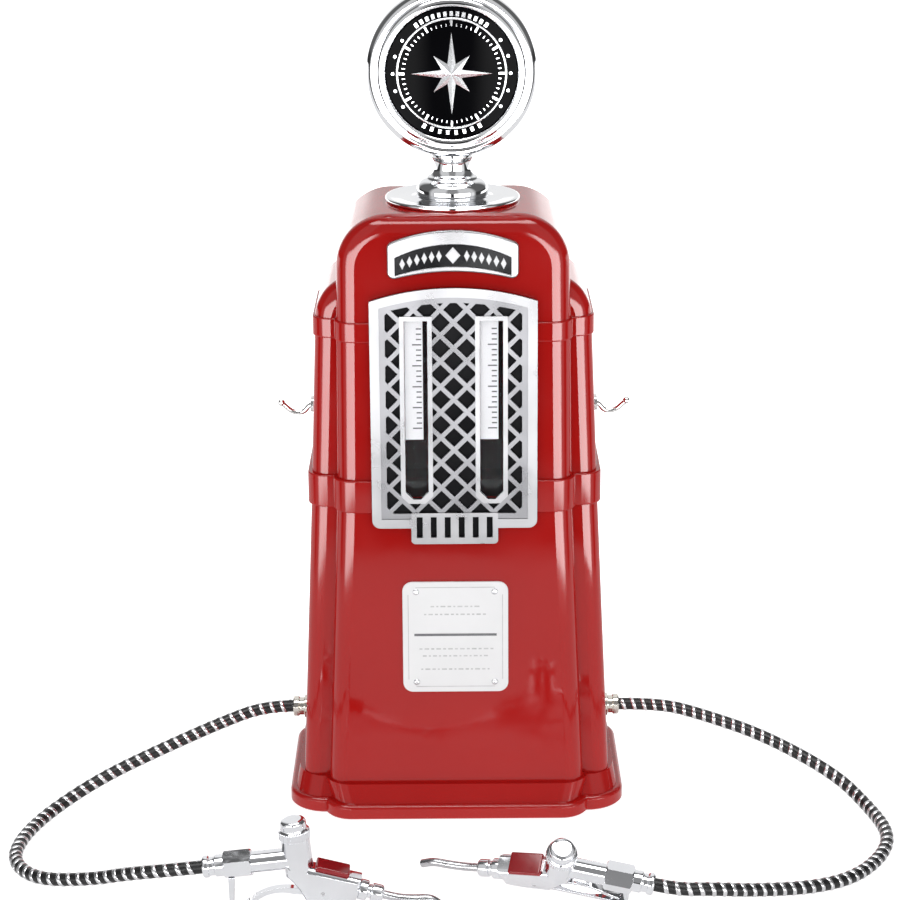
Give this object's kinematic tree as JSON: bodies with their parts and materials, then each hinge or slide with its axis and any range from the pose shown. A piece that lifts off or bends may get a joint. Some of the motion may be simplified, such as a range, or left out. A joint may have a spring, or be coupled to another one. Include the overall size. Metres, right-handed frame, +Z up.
{
  "type": "drinks dispenser",
  "caption": "Table-top drinks dispenser shaped like an old fuel pump: arched cabinet with tanks inside, round chrome head, and hoses that end in trigger nozzles.",
  "frame": {"origin": "on the floor, in the middle of the cabinet's width, inside the foot ring; the head's axis stands 7 mm in front of it, at Y = -7 mm", "axes": "+Z up, front of the cabinet towards -Y, +X to the viewer's right of someone who faces the front"},
  "size_m": [0.5298, 0.2948, 0.502],
  "materials": {
    "cabinet_red": "glossy moulded plastic",
    "head_chrome": "polished",
    "trim_chrome": "polished",
    "screw_steel": "plain",
    "cover_black": "plain",
    "foot_rubber": "plain",
    "face_dark": "printed under a clear coat",
    "backing_black": "plain",
    "insert_dark": "printed",
    "plate_silver": "brushed and printed",
    "nut_brass": "turned",
    "lens_clear": null,
    "scale_white": "printed",
    "hook_chrome": "polished",
    "tank_clear": "blown translucent plastic",
    "fitting_chrome": "turned",
    "tube_clear": "soft translucent tube",
    "hose_rubber": "black with a bright wire wound round it",
    "nozzle_chrome": "polished",
    "nozzle_red": "glossy",
    "spout_steel": "polished"
  },
  "bodies": {
    "cabinet": {"front_housing": "cabinet_red", "rear_housing": "cabinet_red", "grille": "trim_chrome", "name_plate": "trim_chrome", "shell_screws": "screw_steel", "base_screws": "screw_steel", "plate_rivets": "screw_steel", "trigger_pins": "screw_steel", "bottom_cover": "cover_black", "foot_ring": "foot_rubber", "grille_backing": "backing_black", "name_insert": "insert_dark", "instruction_plate": "plate_silver", "outlet_nuts": "nut_brass", "level_lens_left": "lens_clear", "level_scale_left": "scale_white", "hook_left": "hook_chrome", "tank_left": "tank_clear", "outlet_fitting_left": "fitting_chrome", "inner_tube_left": "tube_clear", "hose_left": "hose_rubber", "hose_ferrule_left": "nozzle_chrome", "nozzle_body_left": "nozzle_chrome", "bonnet_cap_left": "nozzle_chrome", "valve_spring_left": "screw_steel", "trigger_guard_left": "nozzle_chrome", "nozzle_cover_left": "nozzle_red", "spout_collar_left": "nozzle_chrome", "spout_left": "spout_steel", "level_lens_right": "lens_clear", "level_scale_right": "scale_white", "hook_right": "hook_chrome", "tank_right": "tank_clear", "outlet_fitting_right": "fitting_chrome", "inner_tube_right": "tube_clear", "hose_right": "hose_rubber", "hose_ferrule_right": "nozzle_chrome", "nozzle_body_right": "nozzle_chrome", "bonnet_cap_right": "nozzle_chrome", "valve_spring_right": "screw_steel", "trigger_guard_right": "nozzle_chrome", "nozzle_cover_right": "nozzle_red", "spout_collar_right": "nozzle_chrome", "spout_right": "spout_steel"},
    "head": {"top_flange": "head_chrome", "globe_stem": "head_chrome", "globe_bezel_front": "head_chrome", "globe_bezel_rear": "head_chrome", "globe_face_front": "face_dark", "globe_face_rear": "face_dark"},
    "trigger_left": {"trigger_left": "nozzle_chrome"},
    "valve_left": {"valve_stem_left": "nut_brass"},
    "trigger_right": {"trigger_right": "nozzle_chrome"},
    "valve_right": {"valve_stem_right": "nut_brass"}
  },
  "joints": [
    {"name": "head_lift", "type": "slide", "parent": "cabinet", "child": "head", "axis": [0, 0, 1], "range_m": [0, 0.08]},
    {"name": "trigger_turn_left", "type": "hinge", "parent": "cabinet", "child": "trigger_left", "pos_m": [-0.07587, -0.201, 0.01577], "axis": [0, 1, 0], "range_deg": [0, 14]},
    {"name": "valve_lift_left", "type": "slide", "parent": "cabinet", "child": "valve_left", "axis": [-0.1045, 0, 0.9945], "range_m": [0, 0.003], "stiffness_N_per_m": 100, "springref_m": -0.012, "deforming": ["valve_spring_left"]},
    {"name": "trigger_turn_right", "type": "hinge", "parent": "cabinet", "child": "trigger_right", "pos_m": [0.04529, -0.19068, 0.01842], "axis": [-0.2084, -0.7313, -0.6495], "range_deg": [0, 14]},
    {"name": "valve_lift_right", "type": "slide", "parent": "cabinet", "child": "valve_right", "axis": [0.0373, -0.6695, 0.7419], "range_m": [0, 0.003], "stiffness_N_per_m": 100, "springref_m": -0.012, "deforming": ["valve_spring_right"]}
  ],
  "couplings": [
    {"joint": "valve_lift_left", "follows": "trigger_turn_left", "m_per_rad": 0.0122},
    {"joint": "valve_lift_right", "follows": "trigger_turn_right", "m_per_rad": 0.0122}
  ]
}
